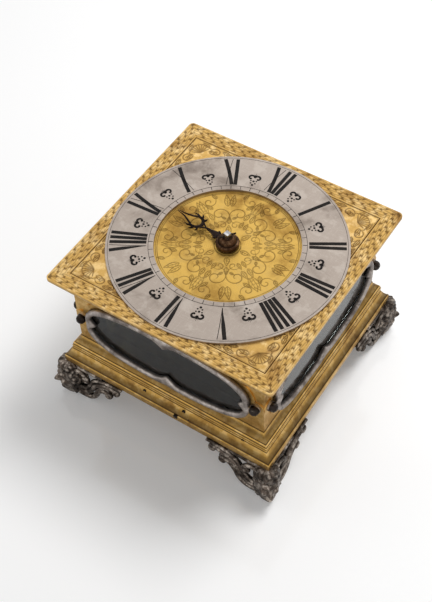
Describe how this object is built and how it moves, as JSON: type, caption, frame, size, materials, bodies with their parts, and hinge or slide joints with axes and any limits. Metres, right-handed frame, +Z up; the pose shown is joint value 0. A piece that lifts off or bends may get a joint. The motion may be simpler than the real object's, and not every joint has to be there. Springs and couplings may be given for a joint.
{
  "type": "horizontal table clock",
  "caption": "Square table clock that lies flat: silvered chapter ring on a gilt dial, one hand, glazed windows in the walls, hinged moulded base on cast mask feet.",
  "frame": {"origin": "centre of the footprint on the table, at the soles of the feet", "axes": "+Z up through the dial, +Y towards the hinge at the back and the hour of twelve, +X to the right of the front, where the hour of three is"},
  "size_m": [0.1426, 0.1426, 0.1063],
  "materials": {
    "gilt_brass": "mercury gilt, polished and worn",
    "dial_gilt": "gilt, engraved",
    "silvered": "silvered brass, stained",
    "frame_silver": "silver, tarnished",
    "foot_metal": "cast, dark patina on bright metal",
    "dark_steel": "blackened steel",
    "blued_steel": "blued steel",
    "bronze": "dark bronze",
    "movement_brass": "gilt movement brass",
    "steel": "polished steel",
    "glass": "old window glass"
  },
  "bodies": {
    "base": {"base_moulding": "gilt_brass", "base_plate": "gilt_brass", "base_hinge_leaf": "gilt_brass", "hinge_pin": "steel", "catch_spring": "steel", "foot_screws": "steel", "foot_front_left": "foot_metal", "foot_front_right": "foot_metal", "foot_back_left": "foot_metal", "foot_back_right": "foot_metal"},
    "catch": {"release_catch": "dark_steel"},
    "barrel": {"barrel": "movement_brass", "barrel_cover": "movement_brass", "mainspring": "blued_steel"},
    "fusee": {"fusee": "movement_brass", "great_wheel": "movement_brass", "fusee_arbor": "steel", "report_pinion": "steel"},
    "second": {"second_wheel": "movement_brass", "second_arbor": "steel"},
    "contrate": {"contrate_wheel": "movement_brass", "contrate_arbor": "steel"},
    "crown": {"crown_wheel": "movement_brass", "crown_arbor": "steel"},
    "balance": {"verge": "steel", "balance": "steel"},
    "hour_wheel": {"hour_wheel": "movement_brass"},
    "hand": {"hour_arbor": "steel", "hour_hand": "blued_steel", "hand_collet": "bronze", "hand_pin": "dark_steel"},
    "case": {"case_walls": "gilt_brass", "cove_moulding": "gilt_brass", "case_hinge_leaf": "gilt_brass", "catch_keeper": "steel", "window_screws": "dark_steel", "window_cups": "frame_silver", "dial_plate": "dial_gilt", "chapter_ring": "silvered", "pillar_plate": "movement_brass", "back_plate": "movement_brass", "pillars": "movement_brass", "pillar_pins": "steel", "dial_posts": "movement_brass", "barrel_arbor": "steel", "setup_ratchet": "steel", "setup_click": "steel", "potence": "movement_brass", "counter_potence": "movement_brass", "balance_cock": "movement_brass", "cock_screw": "steel", "window_frame_front": "frame_silver", "window_glass_front": "glass", "window_frame_right": "frame_silver", "window_glass_right": "glass", "window_frame_back": "frame_silver", "window_glass_back": "glass", "window_frame_left": "frame_silver", "window_glass_left": "glass"}
  },
  "joints": [
    {"name": "case_tilt", "type": "hinge", "parent": "base", "child": "case", "pos_m": [0, 0.0624, 0.0378], "axis": [-1, 0, 0], "range_deg": [0, 95]},
    {"name": "catch_push", "type": "slide", "parent": "base", "child": "catch", "axis": [0, 1, 0], "range_m": [0, 0.0015], "stiffness_N_per_m": 200, "springref_m": -0.001},
    {"name": "contrate_turn", "type": "hinge", "parent": "case", "child": "contrate", "pos_m": [0.01742, -0.01221, 0.07], "axis": [0, 0, 1], "continuous": true},
    {"name": "second_turn", "type": "hinge", "parent": "case", "child": "second", "pos_m": [-0.00024, -0.02241, 0.07], "axis": [0, 0, 1], "continuous": true},
    {"name": "fusee_turn", "type": "hinge", "parent": "case", "child": "fusee", "pos_m": [-0.0252, -0.0189, 0.07], "axis": [0, 0, 1], "continuous": true},
    {"name": "barrel_turn", "type": "hinge", "parent": "case", "child": "barrel", "pos_m": [-0.027, 0.0255, 0.07], "axis": [0, 0, 1], "continuous": true},
    {"name": "crown_turn", "type": "hinge", "parent": "case", "child": "crown", "pos_m": [0.01742, -0.01221, 0.0645], "axis": [-0.2588, 0.9659, 0], "continuous": true},
    {"name": "balance_swing", "type": "hinge", "parent": "case", "child": "balance", "pos_m": [0.01095, 0.01194, 0.06], "axis": [0, 0, 1], "range_deg": [-50, 50]},
    {"name": "hour_wheel_turn", "type": "hinge", "parent": "case", "child": "hour_wheel", "pos_m": [0, 0, 0.091], "axis": [0, 0, 1], "continuous": true},
    {"name": "hand_set", "type": "hinge", "parent": "hour_wheel", "child": "hand", "pos_m": [0, 0, 0.1], "axis": [0, 0, -1], "continuous": true}
  ],
  "couplings": [
    {"joint": "second_turn", "follows": "contrate_turn", "ratio": -0.13333},
    {"joint": "fusee_turn", "follows": "contrate_turn", "ratio": 0.016667},
    {"joint": "barrel_turn", "follows": "contrate_turn", "ratio": 0.011404},
    {"joint": "crown_turn", "follows": "contrate_turn", "ratio": -8},
    {"joint": "hour_wheel_turn", "follows": "contrate_turn", "ratio": -0.0027778}
  ]
}
